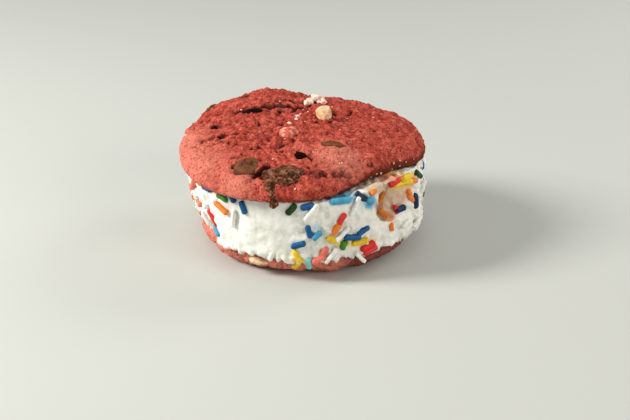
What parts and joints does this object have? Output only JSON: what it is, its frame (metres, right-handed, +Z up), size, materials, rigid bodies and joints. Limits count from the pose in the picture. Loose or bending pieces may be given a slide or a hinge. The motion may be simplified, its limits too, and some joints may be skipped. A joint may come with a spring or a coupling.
{
  "type": "cookie ice cream sandwich",
  "caption": "Two domed red cookies with dark and white chocolate chips, holding a thick round layer of white ice cream with rod sprinkles on its side.",
  "frame": {"origin": "middle of the small flat on which the lower cookie rests, on the sandwich's upright centre line", "axes": "+Z up through the layers, -Y towards the side that the picture shows, +X to its right"},
  "size_m": [0.0791, 0.0821, 0.0426],
  "materials": {
    "red_cookie": "matt baked crumb, brick red, browned at the edge",
    "ice_cream": "soft white and half matt, with rod sprinkles of mixed colours",
    "chocolate": "dark and half matt, dusty where it broke",
    "white_chocolate": "cream, waxy",
    "coated_chip": "white chocolate under a thin film of red dough"
  },
  "bodies": {
    "root": {"bottom_cookie": "red_cookie", "ice_cream": "ice_cream", "top_cookie": "red_cookie", "chocolate_chunk_front": "chocolate", "chocolate_chip_left": "chocolate", "chocolate_chip_middle": "chocolate", "chocolate_chip_back": "chocolate", "chocolate_chip_right": "chocolate", "chocolate_chip_far": "chocolate", "chocolate_nub_front": "chocolate", "chocolate_chip_edge": "chocolate", "chocolate_chip_low_back": "chocolate", "white_chip_top": "white_chocolate", "white_crumbs_top": "white_chocolate", "white_chip_low": "white_chocolate", "white_chip_low_back": "white_chocolate", "white_chip_coated": "coated_chip"}
  },
  "joints": []
}
